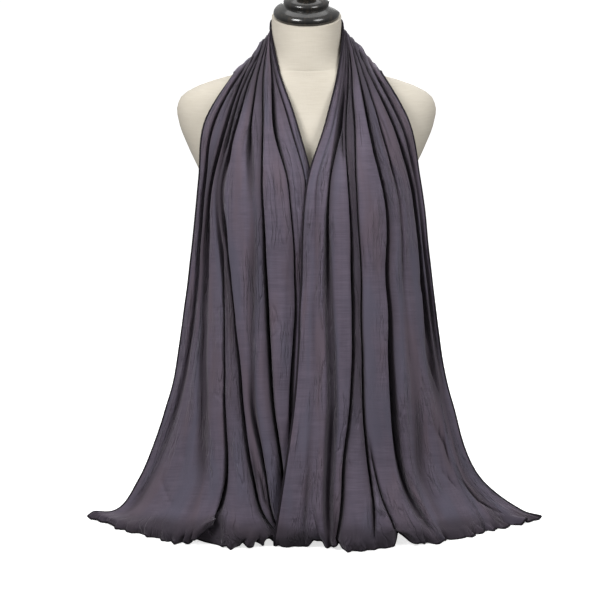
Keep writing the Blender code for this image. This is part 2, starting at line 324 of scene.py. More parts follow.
def lacquered_wood():
    finish = Finish("black_lacquer")
    place = finish.node("ShaderNodeTexCoord", out="Object")
    grain = finish.noise(place, WOOD_GRAIN)
    ripple = finish.noise(place, LACQUER_RIPPLE)
    return finish.shade(
        Base_Color=finish.mix(finish.between(grain, *LACQUER_WEAR), LACQUER, LACQUER_WORN),
        Roughness=finish.between(ripple, *NOISE_SPREAD, *LACQUER_ROUGHNESS),
        Normal=finish.bump(grain * 0.3 + ripple, LACQUER_RELIEF),
        Coat_Weight=0.6,
        Coat_Roughness=0.08,
    )


def turned(outline, sides):
    """An outline of radii and heights, turned all the way round the upright axis."""
    mesh = bmesh.new()
    line = [mesh.verts.new((radius, 0.0, height)) for radius, height in outline]
    edges = [mesh.edges.new(pair) for pair in zip(line, line[1:])]
    bmesh.ops.spin(
        mesh, geom=line + edges, cent=(0, 0, 0), axis=(0, 0, 1), angle=2 * pi, steps=sides, use_merge=True
    )
    bmesh.ops.remove_doubles(mesh, verts=mesh.verts, dist=SAME_POINT)
    bmesh.ops.recalc_face_normals(mesh, faces=mesh.faces)
    return mesh


cap_mesh = turned(CAP_OUTLINE, CAP_SIDES)
seat = Matrix.Translation((0, 0, NECK_TOP_HEIGHT)) @ Matrix.Rotation(NECK_TOP_TILT, 4, "X")
bmesh.ops.transform(cap_mesh, matrix=seat, verts=cap_mesh.verts)
cap = new_piece("turned_neck_cap", cap_mesh, lacquered_wood())
cap.data.set_sharp_from_angle(angle=CAP_CREASE_ANGLE)
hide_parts("neck_cap")


# ---- the shawl ----------------------------------------------------------------------------------
# One rectangle of fine viscose jersey, 1.80 by 0.60 m. Its middle is gathered behind the neck, and
# both ends hang forward over the shoulders and open into long folds down to the table.

SHAWL_LENGTH = 1.80
SHAWL_WIDTH = 0.60
SHAWL_WALL = 0.0008
NECK_RUN = 0.105  # along the cloth from the nape to the top of the shoulder
NECK_EASE = 0.0012  # the cloth stands this much off its solid near the neck, for its thicker edge
NECK_EASE_ENDS = (0.22, 0.30)  # the runs where that starts to fade, and where it is gone
NECK_EASE_SHARE = 1 / 3  # of the way across, from the inner edge
MM_IN_METRE = 1000

# How far along the cloth from the nape, and where its inner edge, its middle and its outer edge lie.
Station = namedtuple("Station", "run inner middle outer")

NAPE = Station(0.0, (0.0, 0.0535, 0.727), (0.0, 0.081, 0.700), (0.0, 0.084, 0.650))
UNDER_END = (  # hangs on the -X side
    Station(0.052, (-0.0385, 0.0385, 0.726), (-0.059, 0.0580, 0.698), (-0.078, 0.0670, 0.6500)),
    Station(0.105, (-0.0517, -0.001, 0.7215), (-0.0690, 0.001, 0.6955), (-0.1018, 0.004, 0.6518)),
    Station(0.172, (-0.0400, -0.047, 0.6580), (-0.075, -0.064, 0.657), (-0.1055, -0.044, 0.6500)),
    Station(0.248, (-0.0160, -0.083, 0.5900), (-0.079, -0.108, 0.592), (-0.143, -0.068, 0.5880)),
    Station(0.340, (0.0063, -0.129, 0.5110), (-0.071, -0.153, 0.514), (-0.153, -0.075, 0.5050)),
    Station(0.492, (0.0090, -0.145, 0.3595), (-0.078, -0.167, 0.363), (-0.170, -0.085, 0.3480)),
    Station(0.648, (0.0048, -0.160, 0.2067), (-0.093, -0.178, 0.210), (-0.199, -0.085, 0.1860)),
    Station(0.770, (-0.0010, -0.176, 0.0967), (-0.119, -0.180, 0.095), (-0.247, -0.075, 0.0627)),
    Station(0.846, (-0.0070, -0.185, 0.0300), (-0.150, -0.188, 0.033), (-0.287, -0.066, 0.0125)),
    Station(0.875, (-0.0082, -0.187, 0.0140), (-0.158, -0.195, 0.016), (-0.313, -0.068, 0.0105)),
    Station(0.900, (-0.0090, -0.186, 0.0010), (-0.165, -0.197, 0.001), (-0.322, -0.068, 0.0010)),
)
OVER_END = (  # hangs on the +X side, over the other one
    Station(0.052, (0.0385, 0.0385, 0.726), (0.059, 0.0580, 0.698), (0.078, 0.0670, 0.6500)),
    Station(0.105, (0.0517, -0.001, 0.7215), (0.0740, 0.001, 0.6970), (0.105, 0.004, 0.6508)),
    Station(0.172, (0.0460, -0.045, 0.6580), (0.078, -0.064, 0.658), (0.108, -0.044, 0.6520)),
    Station(0.248, (0.0287, -0.083, 0.5900), (0.086, -0.110, 0.592), (0.144, -0.068, 0.5880)),
    Station(0.340, (0.0020, -0.142, 0.5130), (0.079, -0.157, 0.514), (0.160, -0.075, 0.5050)),
    Station(0.492, (-0.0062, -0.163, 0.3620), (0.085, -0.171, 0.364), (0.182, -0.085, 0.3480)),
    Station(0.648, (-0.0158, -0.182, 0.2105), (0.093, -0.182, 0.211), (0.209, -0.085, 0.1860)),
    Station(0.770, (-0.0316, -0.200, 0.1006), (0.106, -0.187, 0.097), (0.256, -0.075, 0.0627)),
    Station(0.846, (-0.0420, -0.200, 0.0320), (0.130, -0.200, 0.033), (0.316, -0.066, 0.0125)),
    Station(0.900, (-0.0470, -0.197, 0.0010), (0.148, -0.201, 0.001), (0.345, -0.070, 0.0010)),
)

# One row for each valley between two folds, read at the nape, the top and front of the shoulder, the
# collar, the bust, the waist, the hip, below the hip and just above the hem. across is a share of the
# way from the inner to the outer edge. In millimetres, depth is how far the valley goes in, half is
# half its width, lean is how far its bottom is drawn outwards under the next fold, and roll is how far
# the cloth beside it sinks, on its outer side, or its inner side where roll is negative.
FOLD_RUNS = (0.0, 0.105, 0.172, 0.248, 0.340, 0.492, 0.648, 0.770, 0.880)
STRAIGHT = (0,) * len(FOLD_RUNS)

Valley = namedtuple("Valley", "across depth half lean roll")

UNDER_VALLEYS = (
    Valley(
        (0.110, 0.030, 0.055, 0.065, 0.058, 0.055, 0.045, 0.030, 0.015),
        (7, 3, 6, 9, 4, 3, 4, 7, 4), (4, 1.5, 1.5, 1.6, 1.5, 1.7, 2, 2.4, 3), STRAIGHT, 1,
    ),
    Valley(
        (0.220, 0.070, 0.110, 0.225, 0.210, 0.130, 0.135, 0.075, 0.030),
        (12, 4, 12, 32, 20, 36, 74, 60, 10), (5, 1.5, 1.7, 3.0, 1.5, 1.8, 3.2, 3.4, 3), STRAIGHT, -1,
    ),
    Valley(
        (0.330, 0.125, 0.270, 0.350, 0.436, 0.370, 0.273, 0.138, 0.045),
        (18, 7, 12, 16, 36, 74, 76, 66, 12), (5, 1.5, 1.5, 1.6, 1.6, 2.6, 2.9, 2.5, 2.6),
        (0, 0, 0, 0, 0, -4, -6, -6, 0), 4,
    ),
    Valley(
        (0.450, 0.200, 0.385, 0.490, 0.540, 0.480, 0.410, 0.240, 0.058),
        (23, 8, 16, 24, 5, 5, 7, 28, 8), (5, 1.5, 1.7, 2.0, 7, 8, 6, 2.2, 2.4), STRAIGHT, 2,
    ),
    Valley(
        (0.550, 0.300, 0.540, 0.638, 0.785, 0.645, 0.492, 0.318, 0.075),
        (24, 8, 16, 24, 14, 40, 70, 60, 10), (5, 1.5, 1.5, 1.8, 4.0, 1.6, 2.3, 2.5, 3),
        (0, 0, 0, 0, 0, 2, 6, 6, 0), 4,
    ),
    Valley(
        (0.660, 0.420, 0.640, 0.705, 0.825, 0.715, 0.608, 0.478, 0.378),
        (22, 8, 15, 13, 4, 20, 66, 76, 20), (5, 1.5, 1.6, 2, 4, 1.4, 1.6, 2.8, 5),
        (0, 0, 0, 0, 0, 2, 6, 10, 54), -2,
    ),
    Valley(
        (0.780, 0.580, 0.730, 0.765, 0.884, 0.868, 0.755, 0.620, 0.540),
        (17, 8, 17, 28, 26, 20, 13, 5, 3), (5, 1.5, 1.7, 2.4, 2.6, 6, 8, 14, 14), STRAIGHT, 3,
    ),
    Valley(
        (0.890, 0.740, 0.865, 0.905, 0.960, 0.950, 0.938, 0.935, 0.920),
        (10, 8, 15, 13, 14, 16, 10, 5, 3), (5, 1.5, 2.0, 2.2, 2.4, 3, 5, 12, 14), STRAIGHT, -1,
    ),
)
OVER_VALLEYS = (
    Valley(
        (0.110, 0.030, 0.055, 0.080, 0.090, 0.095, 0.110, 0.125, 0.110),
        (7, 3, 4, 5, 4, 3, 3, 4, 4), (4, 1.5, 1.8, 2.0, 2.4, 5, 8, 6, 5), STRAIGHT, 0,
    ),
    Valley(
        (0.220, 0.070, 0.105, 0.145, 0.188, 0.198, 0.235, 0.230, 0.205),
        (12, 4, 11, 32, 28, 16, 16, 15, 9), (5, 1.5, 1.8, 3.6, 1.8, 6, 8, 7, 6), STRAIGHT, 4,
    ),
    Valley(
        (0.330, 0.120, 0.160, 0.215, 0.358, 0.387, 0.362, 0.305, 0.240),
        (18, 7, 11, 18, 36, 64, 66, 66, 18), (5, 1.5, 1.5, 1.6, 1.5, 2.4, 2.2, 2.3, 2.6),
        (0, 0, 0, 0, 0, -4, -5, -6, -4), 3,
    ),
    Valley(
        (0.450, 0.180, 0.245, 0.328, 0.436, 0.458, 0.444, 0.440, 0.380),
        (23, 8, 14, 16, 30, 40, 60, 48, 0), (5, 1.5, 1.5, 1.5, 1.4, 1.4, 1.9, 2.3, 2.6),
        (0, 0, 0, 0, 0, 2, 4, 6, 0), -3,
    ),
    Valley(
        (0.550, 0.260, 0.405, 0.503, 0.662, 0.658, 0.632, 0.605, 0.605),
        (24, 8, 17, 28, 54, 76, 44, 20, 0), (5, 1.5, 1.5, 2.8, 2.1, 2.4, 4.6, 5, 7),
        (0, 0, 0, 0, 4, 6, 6, 4, 0), 4,
    ),
    Valley(
        (0.660, 0.360, 0.545, 0.633, 0.777, 0.777, 0.775, 0.718, 0.660),
        (22, 8, 15, 15, 8, 4, 4, 4, 3), (5, 1.5, 1.5, 1.6, 2.4, 5, 12, 14, 12), STRAIGHT, 1,
    ),
    Valley(
        (0.780, 0.500, 0.690, 0.805, 0.912, 0.930, 0.915, 0.875, 0.800),
        (17, 8, 19, 32, 44, 30, 4, 3, 2), (5, 1.5, 1.8, 2.2, 2.4, 2.6, 9, 12, 12), STRAIGHT, -2,
    ),
    Valley(
        (0.890, 0.660, 0.840, 0.900, 0.958, 0.972, 0.962, 0.932, 0.890),
        (10, 8, 14, 10, 10, 10, 5, 4, 4), (5, 1.5, 2.2, 2.8, 3, 3, 6, 10, 10), STRAIGHT, 1,
    ),
)
TROUGH_POWER = 1.7  # the shape of a shallow valley's sides
SLIT_POWER = 3.0  # and of a deep one's, which stand nearly upright
SLIT_FULL_DEPTH = 0.030  # a valley this deep has the deep shape fully
OPEN_FORWARD = 0.65  # how far the valleys in front turn to open forwards
OPEN_FORWARD_RUNS = (0.06, 0.17)  # the runs where they start to, and where they do so fully
SOFT_SHARE = 0.12  # how much of a valley's depth rounds the cloth's edges beside it
SOFT_MOST = 0.0022
SOFT_REACH = 0.010
ROLL_REACH = 0.016
ROLL_FULL_DEPTH = 0.012  # a valley this deep has its whole roll

# The short creases between the valleys, each on its own line of runs and shares across. depth and
# half are in millimetres as above, and a negative depth is a ridge.
Crease = namedtuple("Crease", "runs across depth half")

UNDER_CREASES = (
    Crease((0.090, 0.135, 0.195), (0.50, 0.66, 0.78), 6.0, 1.3),
    Crease((0.095, 0.145, 0.235), (0.66, 0.83, 0.97), 6.0, 1.3),
    Crease((0.100, 0.150, 0.225), (0.35, 0.50, 0.57), 5.0, 1.3),
    Crease((0.120, 0.160, 0.215), (0.52, 0.72, 0.80), 5.0, 1.5),
    Crease((0.150, 0.200, 0.263), (0.93, 0.895, 0.92), 4.0, 1.6),
    Crease((0.150, 0.200, 0.263, 0.322), (0.60, 0.69, 0.725, 0.795), 5.0, 1.5),
    Crease((0.294, 0.340, 0.382), (0.29, 0.325, 0.34), 2.0, 1.8),
    Crease((0.354, 0.437, 0.505), (0.515, 0.49, 0.48), 2.0, 6.0),
    Crease((0.506, 0.548, 0.576), (0.985, 0.94, 0.94), 2.0, 2.5),
    Crease((0.506, 0.590, 0.677), (0.775, 0.735, 0.665), 1.5, 4.0),
    Crease((0.618, 0.648, 0.670), (0.845, 0.795, 0.785), 2.0, 2.5),
    Crease((0.684, 0.744, 0.770), (0.865, 0.75, 0.72), 2.0, 2.5),
    Crease((0.708, 0.771, 0.833), (0.39, 0.30, 0.20), 6.0, 3.0),
    Crease((0.745, 0.780, 0.824), (0.915, 0.825, 0.67), 3.5, 4.0),
    Crease((0.755, 0.806, 0.830), (0.305, 0.205, 0.135), 8.0, 3.0),
)
OVER_CREASES = (
    Crease((0.090, 0.135, 0.190), (0.42, 0.58, 0.74), 5.0, 1.3),
    Crease((0.095, 0.145, 0.230), (0.60, 0.82, 0.96), 5.0, 1.3),
    Crease((0.215, 0.268, 0.312), (0.07, 0.205, 0.290), 11.0, 1.9),
    Crease((0.196, 0.255, 0.310), (0.53, 0.69, 0.80), 3.0, 1.8),
    Crease((0.233, 0.271, 0.317), (0.555, 0.64, 0.715), 3.0, 1.8),
    Crease((0.409, 0.453, 0.485), (0.475, 0.495, 0.515), 3.0, 2.0),
    Crease((0.470, 0.495, 0.535), (0.88, 0.93, 0.945), 7.0, 2.0),
    Crease((0.545, 0.590, 0.645), (0.88, 0.91, 0.94), 8.0, 2.0),
    Crease((0.555, 0.576, 0.607), (0.755, 0.78, 0.745), 1.5, 2.0),
    Crease((0.619, 0.706, 0.804), (0.805, 0.755, 0.665), 3.0, 9.0),
    Crease((0.672, 0.713, 0.752), (0.845, 0.89, 0.88), 7.0, 2.0),
    Crease((0.693, 0.754, 0.801, 0.840, 0.960), (0.465, 0.475, 0.475, 0.48, 0.440), 18.0, 2.2),
    Crease((0.723, 0.762, 0.799), (0.065, 0.10, 0.095), 1.5, 2.0),
    Crease((0.731, 0.777, 0.821), (0.105, 0.15, 0.145), 1.5, 2.0),
    Crease((0.745, 0.770, 0.790), (0.820, 0.84, 0.85), 5.0, 2.0),
    Crease((0.765, 0.813, 0.850), (0.900, 0.885, 0.925), 9.0, 2.4),
    Crease((0.800, 0.813, 0.825), (0.435, 0.445, 0.455), -9.0, 3.5),
    Crease((0.806, 0.843, 0.883), (0.145, 0.17, 0.17), 4.0, 3.0),
    Crease((0.807, 0.844, 0.891), (0.265, 0.245, 0.225), 4.0, 3.0),
    Crease((0.815, 0.849, 0.888), (0.33, 0.33, 0.31), 3.0, 3.0),
)
CREASE_EASE = 1.2  # how slowly a crease rises from its ends

COLUMNS_PER_HALF_FOLD = (10, 12, 16, 13, 17, 19, 15, 22, 12)  # from the inner edge outwards
FOLDS = len(COLUMNS_PER_HALF_FOLD)
COLUMN_BUNCHING = 2.2  # how closely the trial columns crowd at the valleys
TRIAL_COLUMNS = 40  # in a half fold, when the columns are spread
SHOWN_DEPTH = 0.012  # deeper than this, the hidden depths of a valley take few columns
HIDDEN_COLUMNS = 0.25
WIDTH_SAMPLES = 13  # points along a row where its width is measured
SLOPE_STEP = 0.002  # to each side of a point, where the surface's slope is read
ROW_RUNS = (  # metres from the nape, and how many rows reach from there to the next
    (0.000, 8),
    (0.105, 22),
    (0.340, 30),
    (0.770, 14),
    (0.846, 16),
    (0.900, 0),
)

LOWEST_CLOTH = 0.0019  # above the table, which leaves room for the edging round the hem
CLOTH_OFF_FORM = 0.0012
FORM_SEARCH = 0.02  # how far off the form is looked for
HEM_WAVES = 17
HEM_WAVE_HEIGHT = 0.0066
HEM_WAVE_SHARES = (0.65, 0.75)  # of that height: the usual one, and how far it varies either way
HEM_WAVE_REACH = 0.048  # above the hem
HEM_WAVE_DRIFT = 0.45  # how far the waves crowd and spread along the hem
HEM_WAVE_TURNS = 2.3  # and how often
HEM_RIPPLE = 0.40  # smaller waves on the large ones, as a share of them
HEM_RIPPLE_RATE = 2.4
HEM_CURVE = 1.5  # how late the waves and the tuck set in
TUCK = 0.020  # the hem is drawn in under the cloth above it
TUCK_REACH = 0.058
TUCK_SHARES = (0.75, 0.35)  # of that reach, where the tuck starts: usual one and spread as above
TUCK_EDGE_SHARE = 1 / 6  # of the way across, along the outer edge, where the tuck fades

# Where the hem is lifted off the table: on which side, where across, how high at the hem, how far
# outwards, and from which run on.
Lip = namedtuple("Lip", "side across height reach start")

HEM_LIPS = (
    Lip(-1, 0.378, 0.036, 0.038, 0.805),
    Lip(1, 0.450, 0.024, 0.026, 0.845),
    Lip(-1, 0.880, 0.007, 0.030, 0.860),
    Lip(-1, 0.105, 0.009, 0.014, 0.865),
    Lip(1, 0.780, 0.008, 0.034, 0.860),
    Lip(1, 0.130, 0.008, 0.012, 0.870),
)
LIP_SPREAD = 0.006  # over this width a lip rises from nothing
LIP_CALM = 0.012  # a lip this high has little of the hem's waves left

GATHER_DEPTH = 0.0014  # the fine pleats between the folds, where the cloth is bunched
GATHER_FADES_BY = 0.36
CROWN_SWAY = 0.0026  # how unevenly the folds stand out
DEPTH_SWAY = 0.40  # how unevenly deep a valley is along its way, as a share of its depth
LINE_SWAY = 0.0013  # how far it wanders
RUMPLE = 0.0009
STREAK = 0.0009  # the long faint ripples down each face
FINER_SHARE = 0.6  # of the finer pleats and streaks among the large ones
SIDE_SHIFT = 7.3  # sets one side's unevenness apart from the other's
RUMPLE_SLANT = 9  # how far the rumples run slantwise

# The runs where each of these starts, and where it is full: the valleys' sway, the crowns, the rumples
# and the streaks.
SWAY_RUNS = (0.16, 0.34)
CROWN_RUNS = (0.2, 0.4)
RUMPLE_RUNS = (0.2, 0.5)
STREAK_RUNS = (0.2, 0.3)

# An unevenness of the cloth: how many swings it has from edge to edge, or for the two of the valleys
# from one valley to the next, how many in a metre of run, and the seed of its noise.
Swing = namedtuple("Swing", "across along seed")

CROWNS = Swing(5, 6, 3)
PLEATS = Swing(26, 7, 5)
FINER_PLEATS = Swing(44, 9, 6)
RUMPLES = Swing(23, 21, 8)
STREAKS = Swing(17, 3.5, 9)
FINER_STREAKS = Swing(35, 6, 10)
HEM_HEIGHTS = Swing(13, 0, 11)
TUCK_HEIGHTS = Swing(7, 0, 12)
VALLEY_DEPTHS = Swing(5.3, 11, 15)
VALLEY_LINES = Swing(5.3, 15, 16)
LATTICE = 64


def uneven(swing, across, along, shift_across=0.0, shift_along=0.0):
    """Smooth noise between about -1 and 1, the same each time for a seed."""
    x = across * swing.across + shift_across
    y = along * swing.along + shift_along
    lattice = np.random.default_rng(swing.seed).uniform(-1, 1, (LATTICE, LATTICE))
    column, row = np.floor(x).astype(int), np.floor(y).astype(int)
    a, b = x - column, y - row
    a, b = a**3 * (a * (6 * a - 15) + 10), b**3 * (b * (6 * b - 15) + 10)
    corners = [lattice[(column + i) % LATTICE, (row + j) % LATTICE] for i in (0, 1) for j in (0, 1)]
    low = corners[0] * (1 - b) + corners[1] * b
    high = corners[2] * (1 - b) + corners[3] * b
    return low * (1 - a) + high * a


def rise_to(value, start, full):
    """0 up to start, 1 from full, and smooth between."""
    t = np.clip((value - start) / (full - start), 0, 1)
    return t * t * (3 - 2 * t)


def both_ends(under, nape, over):
    """Rows for the whole length: the under end's hem first, the over end's hem last."""
    return [*reversed(under), nape, *over]


def outer_surface(run, across):
    """Points of the cloth's outer surface, for arrays of run (signed) and share across."""
    stations = both_ends(UNDER_END, NAPE, OVER_END)
    knots = both_ends([-s.run for s in UNDER_END], NAPE.run, [s.run for s in OVER_END])
    rows = [(*s.inner, *s.middle, *s.outer) for s in stations]
    inner, middle, outer = np.split(smooth_through(knots, rows, run), 3, axis=1)
    w = across[:, None]
    return inner * (1 - w) * (1 - 2 * w) + middle * 4 * w * (1 - w) + outer * w * (2 * w - 1)


def row_width(run):
    """How far it is across the outer surface, from edge to edge, at each run."""
    runs, place = np.unique(run, return_inverse=True)
    shares = np.linspace(0, 1, WIDTH_SAMPLES)
    lines = outer_surface(np.repeat(runs, len(shares)), np.tile(shares, len(runs)))
    lines = lines.reshape(len(runs), len(shares), 3)
    return np.linalg.norm(np.diff(lines, axis=1), axis=2).sum(axis=1)[place]


def along_folds(column, run):
    """One column of the valleys' tables read at each run, a column of values for each valley."""
    under = np.array([getattr(v, column) for v in UNDER_VALLEYS], float).T
    over = np.array([getattr(v, column) for v in OVER_VALLEYS], float).T
    knots = both_ends([-r for r in FOLD_RUNS[1:]], 0.0, FOLD_RUNS[1:])
    rows = both_ends(list(under[1:]), over[0], list(over[1:]))
    return smooth_through(knots, rows, np.clip(run, knots[0], knots[-1]))


def rolls(run):
    """How far the cloth beside each valley sinks, blended behind the neck."""
    under = np.array([v.roll for v in UNDER_VALLEYS])
    over = np.array([v.roll for v in OVER_VALLEYS])
    share = np.clip(0.5 + run / (2 * NECK_RUN), 0, 1)[:, None]
    return under * (1 - share) + over * share


def crease_sink(run, w, width):
    """How far the short creases sink the cloth, at share w of the way across."""
    sink = np.zeros(len(run))
    for side, creases in ((-1, UNDER_CREASES), (1, OVER_CREASES)):
        reach = side * run
        for crease in creases:
            first, last = crease.runs[0], crease.runs[-1]
            line = np.interp(reach, crease.runs, crease.across)
            way = np.clip((reach - first) / (last - first), 0, 1)
            shown = np.clip(np.sin(pi * way), 0, 1) ** CREASE_EASE
            beside = np.abs((w - line) * width * MM_IN_METRE / crease.half) ** TROUGH_POWER
            sink += crease.depth / MM_IN_METRE * shown * np.exp(-beside)
    return sink


def folded_surface(run, share):
    """Points of the folded cloth, and how deep in each one lies, for arrays of run and of share, which
    counts the folds across."""
    lines, width = along_folds("across", run), row_width(run)
    depth, half, lean = (along_folds(column, run) / MM_IN_METRE for column in ("depth", "half", "lean"))
    roll = rolls(run) / MM_IN_METRE
    valley = np.arange(lines.shape[1])
    hanging = rise_to(np.abs(run), *SWAY_RUNS)[:, None]
    depth *= 1 + DEPTH_SWAY * hanging * uneven(VALLEY_DEPTHS, valley, run[:, None])
    lines += LINE_SWAY * hanging * uneven(VALLEY_LINES, valley, run[:, None]) / width[:, None]
    fold = np.minimum((share * FOLDS).astype(int), FOLDS - 1)
    phase = share * FOLDS - fold
    row = np.arange(len(run))
    ends = np.pad(lines, ((0, 0), (1, 1)), constant_values=((0, 0), (0, 1)))
    before, after = ends[row, fold], ends[row, fold + 1]
    near = 0.5 * (2 * np.minimum(phase, 1 - phase)) ** COLUMN_BUNCHING
    w = before + (after - before) * np.where(phase < 0.5, near, 1 - near)

    beside = (w[:, None] - lines) * width[:, None]
    power = TROUGH_POWER + (SLIT_POWER - TROUGH_POWER) * np.clip(depth / SLIT_FULL_DEPTH, 0, 1)
    slit = np.exp(-np.abs(beside / half) ** power)
    soft = np.minimum(depth * SOFT_SHARE, SOFT_MOST) * np.exp(-((beside / SOFT_REACH) ** 2))
    sunk_side = np.clip(0.5 + beside * np.sign(roll) / (2 * half), 0, 1)
    sunk = np.abs(roll) * np.clip(depth / ROLL_FULL_DEPTH, 0, 1) * sunk_side
    sunk *= np.exp(-((beside / ROLL_REACH) ** 2))
    sink = (depth * slit + soft + sunk).sum(axis=1) + crease_sink(run, w, width)
    aside = (lean * slit**2).sum(axis=1)

    points = outer_surface(run, w)
    along = outer_surface(run + SLOPE_STEP, w) - outer_surface(run - SLOPE_STEP, w)
    sideways = outer_surface(run, w + SLOPE_STEP) - outer_surface(run, w - SLOPE_STEP)
    outward = np.cross(along, sideways)
    outward /= np.linalg.norm(outward, axis=1)[:, None]
    sideways /= np.linalg.norm(sideways, axis=1)[:, None]

    reach = np.abs(run)
    side = np.sign(run) * SIDE_SHIFT
    forward = (OPEN_FORWARD * rise_to(reach, *OPEN_FORWARD_RUNS))[:, None]
    opening = outward * (1 - forward) + np.array([0.0, -1.0, 0.0]) * forward
    opening /= np.linalg.norm(opening, axis=1)[:, None]
    gathered = 1 - rise_to(reach, NECK_RUN, GATHER_FADES_BY)
    crowns = uneven(CROWNS, w, run, side) * rise_to(reach, *CROWN_RUNS)
    pleats = uneven(PLEATS, w, run, side) + FINER_SHARE * uneven(FINER_PLEATS, w, run)
    streaks = uneven(STREAKS, w, run, side) + FINER_SHARE * uneven(FINER_STREAKS, w, run, 0.0, side)
    rumple = uneven(RUMPLES, w, run, side + run * RUMPLE_SLANT) * rise_to(reach, *RUMPLE_RUNS)
    rise = CROWN_SWAY * crowns + GATHER_DEPTH * gathered * pleats + RUMPLE * rumple
    rise += STREAK * streaks * rise_to(reach, *STREAK_RUNS)
    rise += NECK_EASE * (1 - rise_to(reach, *NECK_EASE_ENDS)) * np.clip(1 - w / NECK_EASE_SHARE, 0, 1)
    hem = SHAWL_LENGTH / 2
    usual, spread = TUCK_SHARES
    broken_at = hem - TUCK_REACH * (usual + spread * uneven(TUCK_HEIGHTS, w, run, 0.0, side))
    tucked = np.clip((reach - broken_at) / TUCK_REACH, 0, 1) ** HEM_CURVE
    rise -= TUCK * tucked * np.clip((1 - w) / TUCK_EDGE_SHARE, 0, 1)
    points += outward * rise[:, None] - opening * sink[:, None] + sideways * aside[:, None]

    lift = np.zeros(len(run))
    for lip in HEM_LIPS:
        beyond = (w - lip.across) * width
        fading = np.exp(-((np.maximum(beyond, 0) / lip.reach) ** 2))
        lifted = rise_to(beyond, -LIP_SPREAD, LIP_SPREAD) * fading
        lift += lip.height * lifted * rise_to(reach, lip.start, hem) * (run * lip.side > 0)
    near_hem = np.clip((reach - hem + HEM_WAVE_REACH) / HEM_WAVE_REACH, 0, 1)
    usual, spread = HEM_WAVE_SHARES
    height = HEM_WAVE_HEIGHT * near_hem**HEM_CURVE
    height *= usual + spread * uneven(HEM_HEIGHTS, w, run, 0.0, side)
    height *= np.exp(-lift / LIP_CALM)
    angle = 2 * pi * (HEM_WAVES * w + HEM_WAVE_DRIFT * np.sin(2 * pi * HEM_WAVE_TURNS * w + side))
    ripple = HEM_RIPPLE * np.sin(HEM_RIPPLE_RATE * angle + side)
    points += outward * (height * (np.sin(angle) + ripple))[:, None]
    points[:, 2] += lift + height * (1 - np.cos(angle)) / 2
    points[:, 2] = np.maximum(points[:, 2], LOWEST_CLOTH)
    return points, sink


def row_runs():
    """The run of each row of the cloth's grid, from the under end's hem to the over end's."""
    runs = [0.0]
    for (start, rows), (end, _) in zip(ROW_RUNS, ROW_RUNS[1:]):
        runs += list(start + (end - start) * np.arange(1, rows + 1) / rows)
    return np.array([-r for r in reversed(runs[1:])] + runs)


def even_shares(runs):
    """For each row, shares spaced so that every half fold's columns lie evenly along what shows."""
    trial = np.arange(2 * FOLDS * TRIAL_COLUMNS + 1) / (2 * FOLDS * TRIAL_COLUMNS)
    points, sink = folded_surface(np.repeat(runs, len(trial)), np.tile(trial, len(runs)))
    points, sink = points.reshape(len(runs), -1, 3), sink.reshape(len(runs), -1)
    steps = np.linalg.norm(np.diff(points, axis=1), axis=2)
    steps *= np.where(sink[:, 1:] + sink[:, :-1] > 2 * SHOWN_DEPTH, HIDDEN_COLUMNS, 1)
    shares = []
    for row in steps:
        line = [0.0]
        for half_fold, columns in enumerate(np.repeat(COLUMNS_PER_HALF_FOLD, 2)):
            part = slice(half_fold * TRIAL_COLUMNS, (half_fold + 1) * TRIAL_COLUMNS)
            path = np.concatenate([[0], np.cumsum(row[part])])
            wanted = np.linspace(0, path[-1], columns + 1)[1:]
            line += list(np.interp(wanted, path, trial[part.start:part.stop + 1]))
        shares.append(line)
    return np.array(shares)


JERSEY_DEEP = (0.074, 0.060, 0.085, 1.0)
JERSEY_PALE = (0.112, 0.092, 0.127, 1.0)
JERSEY_WARM = (0.102, 0.076, 0.098, 1.0)
JERSEY_COOL = (0.082, 0.075, 0.107, 1.0)
# painted shade: the darker colour the cloth is given deep in its valleys and in the last stretch above the
# hem
JERSEY_PAINTED_SHADE = (0.034, 0.026, 0.035, 1.0)
JERSEY_STREAKS = (0.36, 0.64)  # the noise that gives the deep colour, and the pale one
WARM_PLACES = (0.50, 0.66)  # the noise where the cloth turns warm, and where it is warmest
COOL_PLACES = (0.50, 0.34)
TINT_MOST = 0.8  # how much of the warm or the cool colour shows at most
PAINTED_SHADE_RANGE = (0.12, 1.0)  # of the painted shade's mask: where the painted shade starts to show
PAINTED_SHADE_MOST = 0.85
JERSEY_ROUGHNESS = (0.74, 0.88)
FOLD_SHADE_DEPTH = 0.008  # from this depth in, a valley's cloth gets the whole painted shade
HEM_SHADE = 1.0  # how much painted shade the last stretch above the hem gets
HEM_SHADE_REACH = (0.090, 0.036)  # how far above the hem that starts, and where it is full
HEM_SHADE_SHARES = (0.8, 0.4)  # of it: the usual one, and how far it varies either way
HEM_SHADES = Swing(1 / 17, 3, 14)  # across, it is counted from one column of the grid to the next

COURSES = Grain((0.035, 1.0, 1.0), 900.0, 2.0)
SLUBS = Grain((0.09, 1.0, 1.0), 300.0, 3.0, 0.6)
BANDS = Grain((0.16, 1.0, 1.0), 70.0, 3.0, 0.6)
LADDERS = Grain((1.0, 0.05, 1.0), 160.0, 2.0)
WARMTH = Grain((1.0, 0.25, 1.0), 22.0, 2.0)
CRINKLES = Grain((1.0, 0.20, 1.0), 110.0, 3.0, 0.55, radians(7))
FINE_LINES = Grain((1.0, 0.13, 1.0), 85.0, 2.0, 0.5, radians(-5))
CREASED_PLACES = Grain((1.0, 0.4, 1.0), 17.0, 1.0)
CREASED_RANGE = (0.45, 0.58)  # the noise where the crinkles start, and where they are full
FINE_LINE_WIDTH = 0.06  # of the noise, on each side of its middle, which is where a line runs
WALE_SCALE = 330.0
KNIT_RELIEF = 0.00012
SLUB_RELIEF = 0.00022
CRINKLE_RELIEF = 0.0032
FINE_LINE_RELIEF = 0.0016


